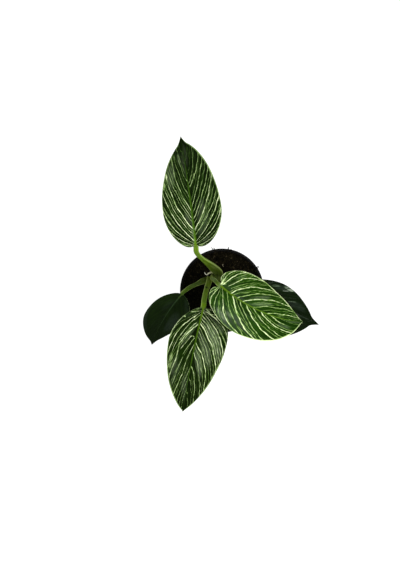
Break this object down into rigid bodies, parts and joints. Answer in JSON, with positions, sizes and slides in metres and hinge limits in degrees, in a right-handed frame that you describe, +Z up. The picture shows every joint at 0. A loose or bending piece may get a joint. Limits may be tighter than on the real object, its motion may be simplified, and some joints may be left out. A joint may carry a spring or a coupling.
{
  "type": "philodendron birkin",
  "caption": "Young philodendron with pinstriped heart-shaped leaves on grooved stalks, growing from a short stem in a round black nursery pot.",
  "frame": {"origin": "centre of the underside of the pot's base", "axes": "+Z up along the pot's axis, +Y towards the leaf with the sheathing stalk"},
  "size_m": [0.2463, 0.3749, 0.2359],
  "materials": {
    "pot_plastic": "satin",
    "potting_mix": "matte",
    "bark": "matte",
    "stalk": "satin",
    "striped_blade": "satin",
    "dark_blade": "satin",
    "dry_sheath": "matte"
  },
  "bodies": {
    "root": {"pot": "pot_plastic", "soil": "potting_mix", "stem": "bark", "petiole_back": "stalk", "blade_back": "striped_blade", "petiole_right": "stalk", "blade_right": "striped_blade", "petiole_front": "stalk", "blade_front": "striped_blade", "petiole_low_left": "stalk", "blade_low_left": "dark_blade", "petiole_low_right": "stalk", "blade_low_right": "dark_blade", "dry_sheath": "dry_sheath"}
  },
  "joints": []
}
